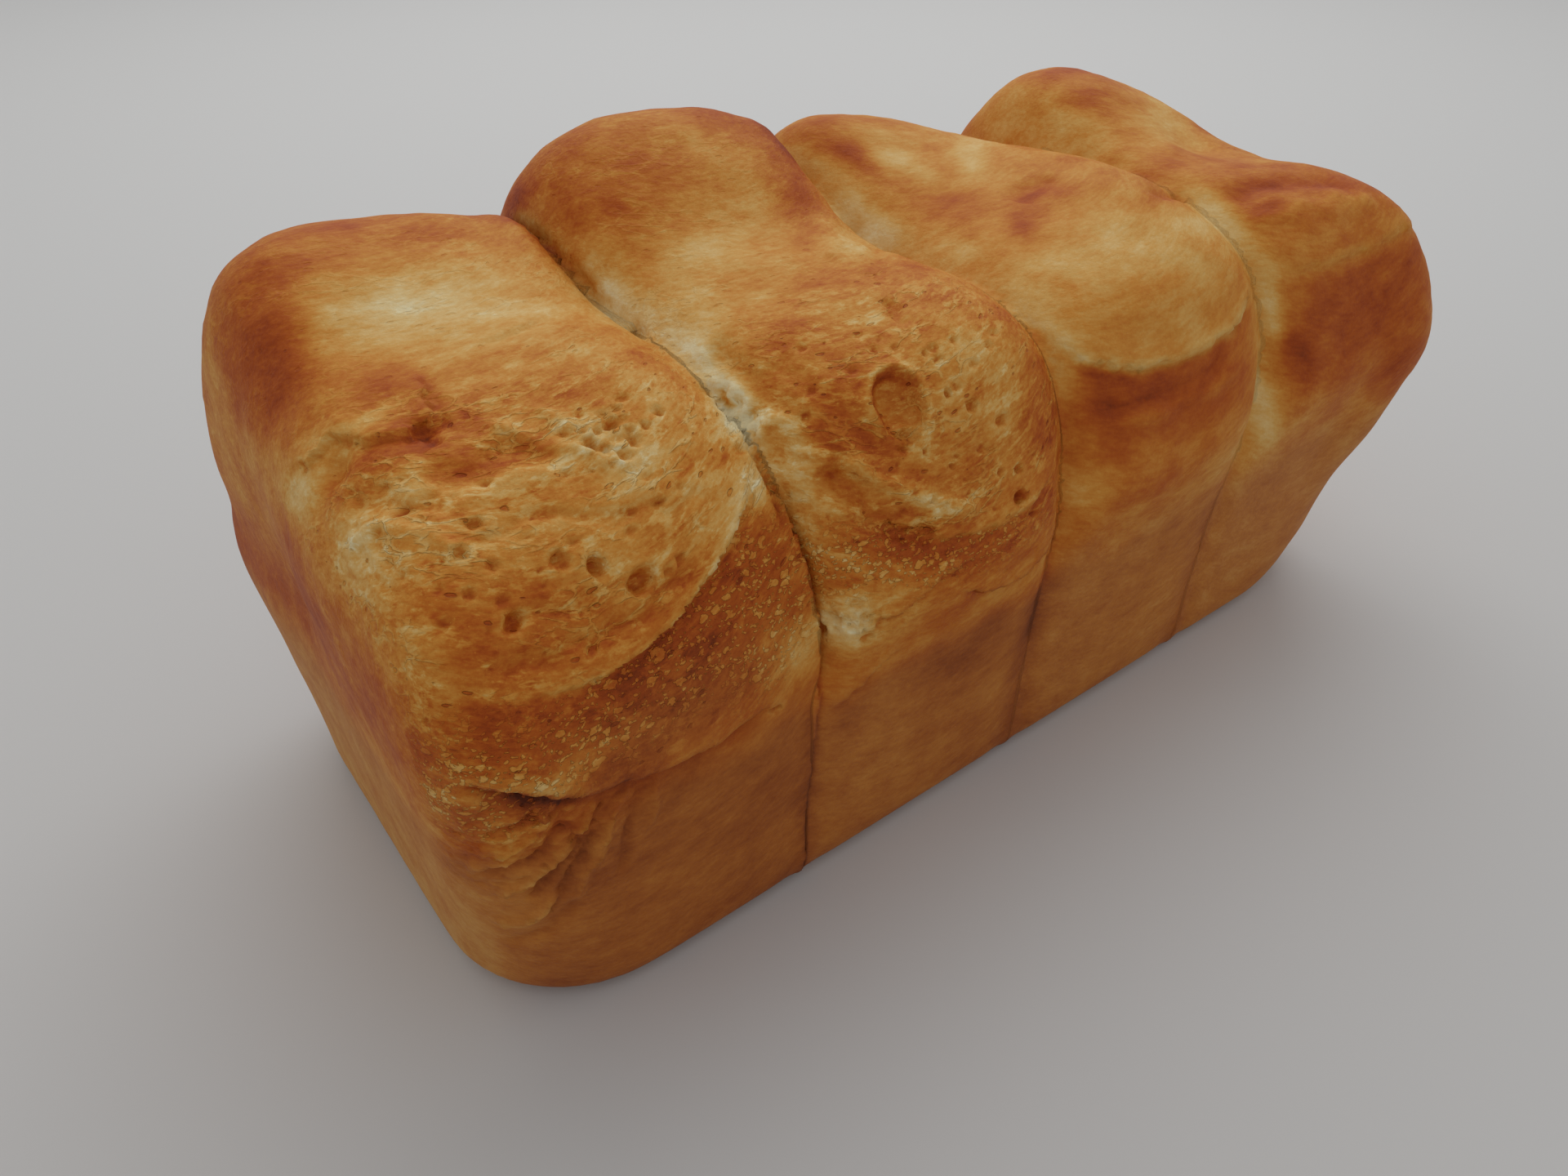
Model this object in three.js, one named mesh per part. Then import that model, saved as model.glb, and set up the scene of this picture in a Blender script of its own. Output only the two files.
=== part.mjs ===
// A tin loaf: four pieces of dough proved side by side in a loaf tin and baked into one loaf.
// Millimetres, +Z up. The origin is on the base, under the middle of the loaf. +X runs along
// the tin from its first piece of dough to its fourth, and -Y is the side the cut faces lean to.
import * as THREE from "three";
import { mergeVertices } from "three/addons/utils/BufferGeometryUtils.js";

// ---- Driving dimensions ---------------------------------------------------------------

// The tin that shaped the lower loaf: half its length and width at the base, how far each
// wall leans out for every millimetre of height, and the height of its rim.
const TIN = { halfLength: 118, halfWidth: 54, leanX: 0.045, leanY: 0.045, rim: 50 };

// The upright corners are round at the base and sharpen up to the rim; the base edge.
const CORNER_R = { base: 28, rim: 12 };
const BASE_R = 5;

// The dough that rose past the tin's rim bulges out over it, on the sides and the far end. The
// bulge begins just under the rim, is full at "rise" over it, and thins out into the grooves.
const OVERHANG = { side: 3.6, farEnd: 5.5, below: 2, rise: 12, fullness: 1.3 };

// The two back corners rose as balls: how much rounder they are for each tin's height that they
// rise over the rim, and up to how many of those.
const BACK_CORNER = { rounder: 25, most: 1.2 };

// The near end leans in over the tin, from not at all at the front to all of it at the back.
const NEAR_END_LEAN = { by: 5, front: -25, back: 30 };

// Where two neighbouring pieces of dough meet, along the tin, and the seam down its walls.
// Above the rim a piece can lie over its neighbour, by so much at the back and the front.
const SEAMS = [
  { x: -57, back: -3, front: 0 },
  { x: -1.5, back: 1, front: 6 },
  { x: 54, back: 4, front: 10 },
];
const SEAM = { depth: 1.8, halfWidth: 2.2 };

// The seams lean over between these heights from the rim, and turn from their front course to
// their back one between these depths of the loaf.
const LEANING = { from: -6, to: 26 };
const COURSE = { front: -30, back: 25 };

// How far past the tin's two ends the first and the last piece reach at most.
const PAST_THE_TIN = { nearEnd: 6, farEnd: 9 };

// Heights of the risen top, from the back wall (+Y) to the front wall (-Y), at the two ends,
// along the crown of each piece and down in each groove between two pieces.
const ACROSS = [58, 45, 30, 15, 0, -15, -30, -45, -58];
const HEIGHTS = {
  ends: [
    [78, 95, 106, 103, 98, 95, 94, 94, 92],
    [56, 60, 66, 72, 79, 85, 88, 86, 75],
  ],
  crowns: [
    [82, 105, 113, 111, 106, 104, 100, 92, 78],
    [84, 109, 119, 115, 106, 103, 101, 94, 77],
    [82, 102, 109, 106, 104, 103, 100, 93, 78],
    [74, 95, 108, 108, 102, 99, 99, 94, 79],
  ],
  grooves: [
    [62, 88, 100, 99, 96, 95, 92, 82, 58],
    [58, 84, 100, 96, 90, 92, 92, 84, 62],
    [54, 73, 87, 95, 97, 98, 95, 86, 64],
  ],
};

// How far along itself, from 0 to 1, each piece is highest: at the back and at the front, and
// the depths of the loaf that the crest turns between.
const CRESTS = [[0.5, 0.5], [0.45, 0.5], [0.38, 0.5], [0.5, 0.55]];
const CREST_TURN = { front: -15, back: 20 };

// How full a piece is between its grooves (a higher number is squarer), and the rounding
// where the risen top runs down into the walls.
const FULLNESS = 3.4;
const SHOULDER_R = 20;

// The top slopes, so a point is nearer to it than its height over it, by this share.
const SLOPE_SHARE = 0.8;

// The skin's faces: along each piece, across the loaf, and up it.
const GRID = { perPiece: 12, across: 24, up: 12 };

// ---- The risen top as a height over the base ------------------------------------------

function heightAcross(heights, at) {
  const last = ACROSS.length - 1;
  const y = THREE.MathUtils.clamp(at, ACROSS[last], ACROSS[0]);
  const i = Math.max(ACROSS.findIndex((station) => station <= y) - 1, 0);
  const t = (ACROSS[i] - y) / (ACROSS[i] - ACROSS[i + 1]);
  const [a, b, c, d] = [Math.max(i - 1, 0), i, i + 1, Math.min(i + 2, last)].map((k) => heights[k]);
  const bend = (2 * a - 5 * b + 4 * c - d) * t + (3 * b - a - 3 * c + d) * t * t;
  return b + ((c - a) * t + bend * t) / 2;
}

// The two ends of the row of pieces, and the height profiles at their five edges.
const ENDS = [-TIN.halfLength - PAST_THE_TIN.nearEnd, TIN.halfLength + PAST_THE_TIN.farEnd];
const EDGE_HEIGHTS = [HEIGHTS.ends[0], ...HEIGHTS.grooves, HEIGHTS.ends[1]];

// Where the seams run at a depth and height of the loaf, and the ends beyond them.
function edgesAt(y, z) {
  const front = 1 - THREE.MathUtils.smoothstep(y, COURSE.front, COURSE.back);
  const over = THREE.MathUtils.smoothstep(z, TIN.rim + LEANING.from, TIN.rim + LEANING.to);
  const seams = SEAMS.map((seam) => seam.x + over * (seam.back + (seam.front - seam.back) * front));
  return [ENDS[0], ...seams, ENDS[1]];
}

function pieceAt(x, y, z) {
  const edges = edgesAt(y, z);
  let i = 0;
  while (i < SEAMS.length && x > edges[i + 1]) i++;
  const t = THREE.MathUtils.clamp((x - edges[i]) / (edges[i + 1] - edges[i]), 0, 1);
  const [back, front] = CRESTS[i];
  const turned = 1 - THREE.MathUtils.smoothstep(y, CREST_TURN.front, CREST_TURN.back);
  const crest = back + (front - back) * turned;
  const fromCrest = t < crest ? (crest - t) / crest : (t - crest) / (1 - crest);
  return { i, t, crown: Math.sqrt(1 - fromCrest ** FULLNESS) };
}

function topHeight(x, y, z) {
  const { i, t, crown } = pieceAt(x, y, z);
  const left = heightAcross(EDGE_HEIGHTS[i], y);
  const right = heightAcross(EDGE_HEIGHTS[i + 1], y);
  const middle = heightAcross(HEIGHTS.crowns[i], y);
  return left + (right - left) * t + (middle - (left + right) / 2) * crown;
}

// ---- The loaf as a distance: below zero inside, above zero outside ---------------------

const softMax = (a, b, r) => {
  const h = Math.max(r - Math.abs(a - b), 0) / r;
  return Math.max(a, b) + (h * h * r) / 4;
};

// The walls: a tapered box with rounded upright corners, nicked down the seams, that
// swells over the tin's rim on both sides and on the far end.
function wallDistance(x, y, z) {
  const { crown } = pieceAt(x, y, z);
  const over = THREE.MathUtils.smoothstep(z, TIN.rim - OVERHANG.below, TIN.rim + OVERHANG.rise);
  const { by, front, back } = NEAR_END_LEAN;
  const leanIn = by * THREE.MathUtils.smoothstep(y, front, back);
  const outX = TIN.halfLength + TIN.leanX * z + (x > 0 ? OVERHANG.farEnd : -leanIn) * over;
  const bulge = OVERHANG.side * over * Math.min(1, OVERHANG.fullness * crown);
  const outY = TIN.halfWidth + TIN.leanY * z + bulge;
  const risen = y > 0 ? THREE.MathUtils.clamp((z - TIN.rim) / TIN.rim, 0, BACK_CORNER.most) : 0;
  const tinCorner = CORNER_R.base + (CORNER_R.rim - CORNER_R.base) * Math.min(z / TIN.rim, 1);
  const r = tinCorner + BACK_CORNER.rounder * risen;
  const qx = Math.abs(x) - outX + r;
  const qy = Math.abs(y) - outY + r;
  const seams = edgesAt(y, z).slice(1, -1);
  const nick = seams.reduce((d, s) => d + SEAM.depth * Math.exp(-(((x - s) / SEAM.halfWidth) ** 2)), 0);
  return Math.hypot(Math.max(qx, 0), Math.max(qy, 0)) + Math.min(Math.max(qx, qy), 0) - r + nick;
}

function loafDistance({ x, y, z }) {
  const top = (z - topHeight(x, y, z)) * SLOPE_SHARE;
  const body = softMax(wallDistance(x, y, z), top, SHOULDER_R);
  return softMax(body, -z, BASE_R);
}

// ---- The skin: a box of fine faces, drawn in to the dough's surface --------------------

const BOX = { length: 260, width: 126, height: 124 };
const SPINE = { halfLength: 72, height: 46 };

// Each point is looked for on a line from the spine to the box and a little past it, by halving.
const SEARCH = { reach: 1.4, halvings: 40 };

// Points this near to the base are laid flat on it.
const FLAT = 0.02;

// The box's columns are crowded towards the seams, so each groove has a line of its own.
function columnX(column, y, z) {
  const edges = edgesAt(y, z);
  const i = Math.min(Math.floor(column / GRID.perPiece), SEAMS.length);
  const t = (1 - Math.cos((Math.PI * (column - i * GRID.perPiece)) / GRID.perPiece)) / 2;
  return edges[i] + (edges[i + 1] - edges[i]) * t;
}

function drawnToTheDough(vertex, column) {
  const x = columnX(column, vertex.y, vertex.z);
  const alongSpine = THREE.MathUtils.clamp(x, -SPINE.halfLength, SPINE.halfLength);
  const from = new THREE.Vector3(alongSpine, 0, SPINE.height);
  const ray = new THREE.Vector3(x, vertex.y, vertex.z).sub(from);
  let inside = 0;
  let outside = SEARCH.reach;
  for (let step = 0; step < SEARCH.halvings; step++) {
    const middle = (inside + outside) / 2;
    if (loafDistance(from.clone().addScaledVector(ray, middle)) < 0) inside = middle;
    else outside = middle;
  }
  return from.addScaledVector(ray, inside);
}

function skin() {
  const columns = GRID.perPiece * (SEAMS.length + 1);
  const box = new THREE.BoxGeometry(BOX.length, BOX.width, BOX.height, columns, GRID.across, GRID.up);
  box.translate(0, 0, BOX.height / 2);
  box.deleteAttribute("normal");
  box.deleteAttribute("uv");
  const geometry = mergeVertices(box);
  const position = geometry.getAttribute("position");
  const vertex = new THREE.Vector3();
  for (let i = 0; i < position.count; i++) {
    vertex.fromBufferAttribute(position, i);
    const drawn = drawnToTheDough(vertex, Math.round((vertex.x / BOX.length + 0.5) * columns));
    position.setXYZ(i, drawn.x, drawn.y, Math.abs(drawn.z) < FLAT ? 0 : drawn.z);
  }
  geometry.computeBoundingBox();
  const middle = geometry.boundingBox.getCenter(new THREE.Vector3());
  geometry.translate(-middle.x, -middle.y, 0);
  geometry.computeVertexNormals();
  return geometry;
}

const crust = new THREE.MeshStandardMaterial({ color: 0xc07a35, roughness: 0.62, metalness: 0 });
const loaf = new THREE.Mesh(skin(), crust);
loaf.name = "loaf";

const tinLoaf = new THREE.Group();
tinLoaf.add(loaf);
export default tinLoaf;
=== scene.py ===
"""A tin loaf: four pieces of white dough baked side by side in one tin, standing on a pale table."""

import math

import bpy
import numpy as np
from mathutils import Matrix, Vector, noise


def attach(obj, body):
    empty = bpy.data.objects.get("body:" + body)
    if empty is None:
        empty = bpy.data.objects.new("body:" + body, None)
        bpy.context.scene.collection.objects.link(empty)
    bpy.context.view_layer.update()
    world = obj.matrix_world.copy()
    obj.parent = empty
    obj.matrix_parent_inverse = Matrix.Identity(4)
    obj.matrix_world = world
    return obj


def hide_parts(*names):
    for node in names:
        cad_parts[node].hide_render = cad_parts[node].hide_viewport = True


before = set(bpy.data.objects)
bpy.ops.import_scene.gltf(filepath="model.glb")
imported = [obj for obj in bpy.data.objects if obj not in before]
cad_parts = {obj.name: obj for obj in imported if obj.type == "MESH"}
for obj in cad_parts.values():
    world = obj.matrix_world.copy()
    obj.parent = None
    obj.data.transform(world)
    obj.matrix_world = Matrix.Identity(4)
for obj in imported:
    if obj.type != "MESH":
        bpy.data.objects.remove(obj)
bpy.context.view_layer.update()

# ---- Camera ---------------------------------------------------------------------------
# A wide lens close over the loaf's near corner, looking down its length from the cut side.

eye = Vector((-0.14535, -0.16209, 0.17930))
turn, tilt, roll = math.radians(-36.837), math.radians(37.965), math.radians(-0.478)
backward = Vector((math.sin(turn) * math.cos(tilt), -math.cos(turn) * math.cos(tilt), math.sin(tilt)))
sideways = Vector((0, 0, 1)).cross(backward).normalized()
upward = backward.cross(sideways)
right = sideways * math.cos(roll) + upward * math.sin(roll)
above = upward * math.cos(roll) - sideways * math.sin(roll)

bpy.ops.object.camera_add(location=eye)
camera = bpy.context.object
camera.matrix_world = Matrix.Translation(eye) @ Matrix((right, above, backward)).transposed().to_4x4()
camera.data.lens = 25.89
camera.data.sensor_width = 36
camera.data.clip_start = 0.01
bpy.context.scene.camera = camera

# ---- Table ----------------------------------------------------------------------------
# A plain pale laminate top that the loaf stands on, matt, with no edge in view.

bpy.ops.mesh.primitive_plane_add(size=8, location=(0, 0, 0))
table = bpy.context.object
table.name = "table_top"
laminate = bpy.data.materials.new("pale_laminate")
laminate.use_nodes = True
laminate_shader = laminate.node_tree.nodes["Principled BSDF"]
laminate_shader.inputs["Base Color"].default_value = (0.60, 0.597, 0.59, 1)
laminate_shader.inputs["Roughness"].default_value = 0.6
table.data.materials.append(laminate)

# ---- Light ----------------------------------------------------------------------------
# A wide soft ceiling panel above and behind the loaf, and an even pale room.

bpy.ops.object.light_add(type="AREA", location=(0.40, 0.55, 0.85))
panel = bpy.context.object
panel.data.shape = "RECTANGLE"
panel.data.size = 1.2
panel.data.size_y = 0.9
panel.data.energy = 4.5
middle_of_loaf = Vector((0, 0, 0.05))
facing_loaf = (middle_of_loaf - panel.location).to_track_quat("-Z", "Y").to_matrix().to_4x4()
panel.matrix_world = Matrix.Translation(panel.location) @ facing_loaf

room = bpy.data.worlds.new("pale_room")
room.use_nodes = True
room.node_tree.nodes["Background"].inputs["Color"].default_value = (1.0, 1.0, 1.0, 1)
room.node_tree.nodes["Background"].inputs["Strength"].default_value = 0.515
bpy.context.scene.world = room
bpy.context.scene.view_settings.view_transform = "Standard"

# ---- Loaf: the dough's form -----------------------------------------------------------
# One baked piece: four lumps of white dough that rose and joined in the tin. It starts as
# the CAD loaf's own shape, rounded and covered with an even skin of fine faces.

bpy.ops.object.select_all(action="DESELECT")
cad_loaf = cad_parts["loaf"]
loaf = bpy.data.objects.new("baked_loaf", cad_loaf.data.copy())
bpy.context.scene.collection.objects.link(loaf)
bpy.context.view_layer.objects.active = loaf
loaf.select_set(True)
bpy.ops.object.mode_set(mode="EDIT")
bpy.ops.mesh.select_all(action="SELECT")
bpy.ops.mesh.remove_doubles(threshold=0.00001)
bpy.ops.mesh.tris_convert_to_quads()
bpy.ops.object.mode_set(mode="OBJECT")

rounding = loaf.modifiers.new("rounding", "SUBSURF")
rounding.levels = 2
rounding.render_levels = 2
bpy.ops.object.modifier_apply(modifier="rounding")

MM_PER_METRE = 1000
SKIN_FACE = 1.38 / MM_PER_METRE
skin = loaf.modifiers.new("skin", "REMESH")
skin.mode = "VOXEL"
skin.voxel_size = SKIN_FACE
bpy.ops.object.modifier_apply(modifier="skin")

# The base is smooth, so only a share of its faces is kept. The first two cuts, the lip at the
# near corner and the first seam show the finest work, so their faces are half as wide.
BASE_HEIGHT = 1 / MM_PER_METRE
BASE_SHARE_KEPT = 0.06
bpy.ops.object.mode_set(mode="EDIT")
bpy.ops.mesh.select_mode(type="FACE")
bpy.ops.mesh.select_all(action="DESELECT")
bpy.ops.object.mode_set(mode="OBJECT")
for face in loaf.data.polygons:
    face.select = face.center.z < BASE_HEIGHT
bpy.ops.object.mode_set(mode="EDIT")
bpy.ops.mesh.decimate(ratio=BASE_SHARE_KEPT)
bpy.ops.mesh.select_all(action="DESELECT")
bpy.ops.object.mode_set(mode="OBJECT")
for face in loaf.data.polygons:
    x, y, z = face.center * MM_PER_METRE
    cut_side = x < 4 and y < -8 and z > 48
    near_corner = x < -84 and y < -40 and z > 32
    first_seam = abs(x + 58.5) < 3 and y < -50
    face.select = cut_side or near_corner or first_seam
bpy.ops.object.mode_set(mode="EDIT")
bpy.ops.mesh.subdivide(number_cuts=1)
bpy.ops.mesh.select_all(action="DESELECT")
bpy.ops.object.mode_set(mode="OBJECT")

# ---- Loaf: how the four pieces swelled ------------------------------------------------
# The dough pressed against the tin and rose unevenly over its rim. From here on the skin is
# moved in or out, in millimetres, with +X towards the fourth piece and -Y the cut side.

count = len(loaf.data.vertices)
skin_at = np.empty(count * 3)
loaf.data.vertices.foreach_get("co", skin_at)
skin_at = skin_at.reshape(-1, 3) * MM_PER_METRE
facing = np.empty(count * 3)


def face_outwards():
    """The way the skin faces at each of its points, after it has been moved."""
    loaf.data.vertices.foreach_set("co", (skin_at / MM_PER_METRE).ravel())
    loaf.data.update()
    loaf.data.vertices.foreach_get("normal", facing)
    return facing.reshape(-1, 3).copy()


def push(amount):
    """Moves the skin outwards by so many millimetres at each point."""
    skin_at[:] = skin_at + outward * np.asarray(amount)[:, None]


def ramp(values, low, high):
    """0 below low, 1 above high, and a smooth rise between them."""
    part = np.clip((values - low) / (high - low), 0, 1)
    return part * part * (3 - 2 * part)


def near(values, middle, reach):
    """1 where the values are at the middle, fading away over the reach on both sides."""
    return np.exp(-(((values - middle) / reach) ** 2))


def seen(side):
    """The skin's points as seen from above (x, y), from the front (x, z) or on the near end
    (y, z), and how squarely each one faces that side."""
    x, y, z = skin_at.T
    nx, ny, nz = outward.T
    if side == "top":
        return np.stack((x, y), 1), ramp(nz, 0.15, 0.5)
    if side == "front":
        return np.stack((x, z), 1), ramp(-ny, 0.12, 0.4) * ramp(-y, 15, 25)
    return np.stack((y, z), 1), ramp(-nx, 0.12, 0.4)


def spot(side, centre, size, turned=0):
    """A soft oval: 1 at its centre, fading over its half sizes, turned in degrees."""
    at, square = seen(side)
    across = at - np.array(centre)
    cosine, sine = math.cos(math.radians(turned)), math.sin(math.radians(turned))
    first = (across[:, 0] * cosine + across[:, 1] * sine) / size[0]
    second = (across[:, 1] * cosine - across[:, 0] * sine) / size[1]
    return np.exp(-(first * first + second * second)) * square


grains = {}
SEED_STEP = 17.3
LUMPS_ROUGH, LUMPS_FINER_BY, LUMP_LAYERS = 0.7, 2.1, 3


def grain(size, seed, stretch=(1, 1, 1)):
    """Smooth random lumps of the given size over the loaf, about -1 to 1."""
    key = (size, seed, stretch)
    if key not in grains:
        places = skin_at / (size * np.array(stretch)) + seed * SEED_STEP
        grains[key] = np.array([
            noise.fractal(Vector(p), LUMPS_ROUGH, LUMPS_FINER_BY, LUMP_LAYERS) for p in places
        ])
    return grains[key]


outward = face_outwards()
x, y, z = skin_at.T
risen = ramp(z, 48, 62)

# Which of the four pieces each point is on: the seams lean towards the far end as they rise.
cut_half = 1 - ramp(y, -30, 25)
over_tin = ramp(z, 44, 76)
seam_x = [
    -59.5 - 3 * over_tin * (1 - cut_half),
    -4 + over_tin * (1 + 5 * cut_half),
    51.5 + over_tin * (4 + 6 * cut_half),
]
piece = sum((x > at).astype(int) for at in seam_x)

# The first seam leans to the far end over the tin's rim, on the cut side.
lean = ramp(z, 46, 56) * (1 - ramp(z, 88, 98)) * ramp(-y, 25, 38)
skin_at[:, 0] += 1.6 * lean * near(x, -59.5, 5)

# The dough is uneven all over where it rose, and nearly true where the tin held it.
risen_lumps = 0.35 * grain(24, 1) + 0.2 * grain(9, 4)
tin_lumps = 0.3 * grain(30, 2)
push(risen * risen_lumps + tin_lumps * (1 - risen) * ramp(z, 1, 8))

# The first piece's back shoulder swelled up and over the second, and the second's over the third.
SHOULDERS = [
    # piece, place from above, half sizes, height
    (0, (-65, 24), (4.5, 15), 2.6),
    (1, (-9, 26), (4.5, 12), 1.2),
]
for number, centre, size, height in SHOULDERS:
    shoulder = near(x, centre[0], size[0]) * near(y, centre[1], size[1]) * ramp(z, 70, 85)
    push(height * shoulder * (piece == number))

# Both ends swelled out over the tin's rim, the second piece's crown rose highest, and the
# fourth piece sank between its two lobes.
far_end_swelling = near(z, 45, 13) * ramp(x, 88, 108) * ramp(-y, 15, 40)
push(3.0 * far_end_swelling)
far_end_base = (1 - ramp(z, 3, 16)) * ramp(z, 0, 2) * ramp(x, 78, 104) * ramp(-y, 25, 48)
push(-1.8 * far_end_base)
near_end_swelling = near(z, 70, 24) * ramp(-x, 108, 116) * ramp(y, 0, 28)
push(3.6 * near_end_swelling)
second_crown = spot("top", (-36, 27), (16, 15))
fourth_saddle = spot("top", (88, -8), (9, 7), 20)
push(1.9 * second_crown - 1.6 * fourth_saddle)
far_corner_swelling = near(z, 62, 20) * ramp(x, 96, 112) * ramp(-y, 30, 52)
push(1.6 * far_corner_swelling)

# Down the walls the pieces pressed together, so most of each nick is filled.
for at in seam_x:
    filling = (0.9 + 0.6 * (1 - ramp(z, 4, 24))) * (np.abs(y) > 50)
    push((1 - over_tin) * near(x, at, 2.4) * filling)
outward = face_outwards()

# ---- Loaf: the cut faces' rims and the folds under them -------------------------------
# Each piece's front was cut before baking. The crust stands up along the cut's edge, and
# the dough under it swelled out over the tin's rim.


def trace(side, places, wander=0.0):
    """Signed distance from a line through the places, above 0 on its left, how far along it,
    from 0 to 1, and how squarely the skin faces that side."""
    at, square = seen(side)
    if wander:
        at = at + wander * np.stack((grain(6, 3), grain(6, 5)), 1)
    points = np.array(places, float)
    lengths = np.linalg.norm(np.diff(points, axis=0), axis=1)
    begun = np.concatenate(([0], np.cumsum(lengths)))
    nearest = np.full(len(at), np.inf)
    signed = np.zeros(len(at))
    along = np.zeros(len(at))
    for start, stop, length, before in zip(points, points[1:], lengths, begun):
        run = (stop - start) / length
        offset = at - start
        reached = np.clip(offset @ run, 0, length)
        gap = np.linalg.norm(offset - reached[:, None] * run, axis=1)
        closer = gap < nearest
        nearest[closer] = gap[closer]
        left = run[0] * offset[:, 1] - run[1] * offset[:, 0]
        signed[closer] = (gap * np.where(left >= 0, 1, -1))[closer]
        along[closer] = ((before + reached) / begun[-1])[closer]
    return signed, along, square


def over_line(gap, reach):
    """1 just over a line, fading over the reach, and 0 under it."""
    return np.where(gap > 0, near(gap, 0, reach), 0)


def under_line(gap, reach):
    """1 just under a line, fading over the reach, and 0 over it."""
    return np.where(gap <= 0, near(gap, 0, reach), 0)


CUT_RIMS = [
    # how far the rim stands, the share of its length before it begins to, and its course
    (1.15, 0.25, [(-124, 90), (-121, 86), (-116, 82), (-110, 79), (-104, 77), (-98, 75.3),
                  (-90, 75), (-82, 76.5), (-74, 79.5), (-67, 83), (-62, 87.5)]),
    (0.5, 0.0, [(-56, 83), (-51, 80), (-46, 77.5), (-40, 74), (-32, 70.5), (-22, 69),
                (-12, 69.5), (-4, 73)]),
    (0.9, 0.0, [(2, 95), (5, 90), (9, 86.5), (15, 84), (22, 82.6), (30, 82), (40, 82),
                (48, 83), (55, 85.5), (59.5, 89)]),
    (0.4, 0.0, [(64, 90), (72, 88), (84, 87), (96, 87), (108, 88), (118, 89)]),
]
under_rims = []
# A painted highlight pales the crest of each rim.
rim_highlight = np.zeros(count)
for stand, begins, course in CUT_RIMS:
    gap, along, square = trace("front", course, wander=0.5)
    ends = ramp(along, begins, begins + 0.3) * ramp(1 - along, 0, 0.1) * square
    raised, sunk = 0.7 * over_line(gap, 3.0), 0.9 * under_line(gap, 1.8)
    push(ends * stand * (raised - sunk))
    under_rims.append((-gap, along, square))
    rim_highlight += ends * near(gap, 0.6, 0.9) * min(stand, 1)

# The first piece's swelling hangs over its wall in a lip, sharpest at the near corner.
outward = face_outwards()
LIP = [
    (-120, 69.8), (-116, 68.8), (-112, 66.4), (-108, 63.3), (-104.5, 61), (-100, 59.2),
    (-95, 57.2), (-90, 56.2), (-84, 55.2), (-76, 53.8), (-66, 52.2),
]
gap, along, square = trace("front", LIP, wander=0.8)
lip_ends = ramp(along, 0, 0.12) * ramp(1 - along, 0.0, 0.32) * square
lip_over = over_line(gap, 5) * lip_ends
lip_under = under_line(gap, 8) * lip_ends
lip_crease = near(gap, -0.8, 1.1) * lip_ends
# The crease and the hollow under the lip are also darkened with painted shade, and the lip's lower edge
# is paled with a painted highlight.
lip_shade = np.where(gap < 0.4, near(gap, -2.0, 3.2), 0) * lip_ends
lip_edge_highlight = near(gap, 1.5, 1.0) * lip_ends * ramp(1 - along, 0.35, 0.7)
push(1.9 * lip_over - 2.4 * lip_under - 3.4 * lip_crease)
sag = 1.2 * lip_over * near(gap, 0, 2.4)
skin_at[:, 2] -= sag
outward = face_outwards()

# Smaller lobes lap over one another in low steps, on the cuts and just over the tin's rim.
LOBES = [
    # side, course, height of the step
    ("top", [(-121, -9), (-117.5, -16), (-113, -17), (-109.5, -22.5), (-103, -23.5),
             (-100, -19), (-99, -14), (-98, -9)], 0.8),
    ("top", [(-92, -10), (-84, -10), (-77, -7), (-69, -1)], 0.35),
    ("front", [(-56, 60), (-50, 61), (-44, 61.5), (-38, 63.5), (-32, 64.5), (-26, 64.5)], 0.9),
    ("front", [(-31, 61), (-24, 57), (-17, 54.5), (-10, 55.5), (-5, 59), (-2, 64)], 1.3),
    ("front", [(-57.5, 43.5), (-53, 46.5), (-47, 50), (-40, 53)], 0.8),
    ("front", [(-117, 57.5), (-112, 57.5), (-109, 55.8), (-105, 58.5), (-101, 57)], 1.3),
]
# The crease under each step is darkened with painted shade.
lobe_crease_shade = np.zeros(count)
for side, course, step in LOBES:
    gap, along, square = trace(side, course, wander=1.5)
    ends = ramp(along, 0, 0.3) * ramp(1 - along, 0, 0.3) * square
    raised, sunk = 0.6 * over_line(gap, 3), 0.7 * under_line(gap, 2.2)
    push(ends * step * (raised - sunk))
    lobe_crease_shade = np.maximum(lobe_crease_shade, step * ends * near(gap, -0.6, 0.9))
outward = face_outwards()

# ---- Loaf: seams, folds and dimples ---------------------------------------------------
# Two neighbouring pieces press together in a tight seam that runs down to the base, and the
# soft dough wrinkled where it was cut and where it was pressed.


def stroke(side, places, width, wander):
    """A soft line that is 1 along its middle and fades over its width and at both ends."""
    gap, along, square = trace(side, places, wander)
    ends = ramp(along, 0.0, 0.12) * ramp(1 - along, 0.0, 0.12)
    return near(gap, 0, width) * ends * square


FIRST_SEAM = [
    (-59.2, 88), (-58.9, 84), (-58.4, 78), (-57.7, 72), (-57.6, 64), (-57.9, 54), (-58.2, 47),
    (-59.1, 33), (-60, 20), (-60, 2),
]
gap, along, square = trace("front", FIRST_SEAM, wander=0.4)
square = square * ramp(along, 0, 0.08)
before_seam = gap <= 0
lap = (0.3 + 0.7 * risen) * near(gap, 0, 3.2)
sink = (0.5 + 1.5 * risen) * np.exp(-np.abs(gap) / 1.3)
push(square * np.where(before_seam, lap, -sink))
skin_at[:, 0] += 1.1 * risen * square * before_seam * near(gap, 0, 1.8)
# The dark line along the seam is painted shade in its crack.
crack_shade = square * near(gap, 0.2, 0.5) * (0.6 + 0.4 * risen)
outward = face_outwards()

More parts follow.
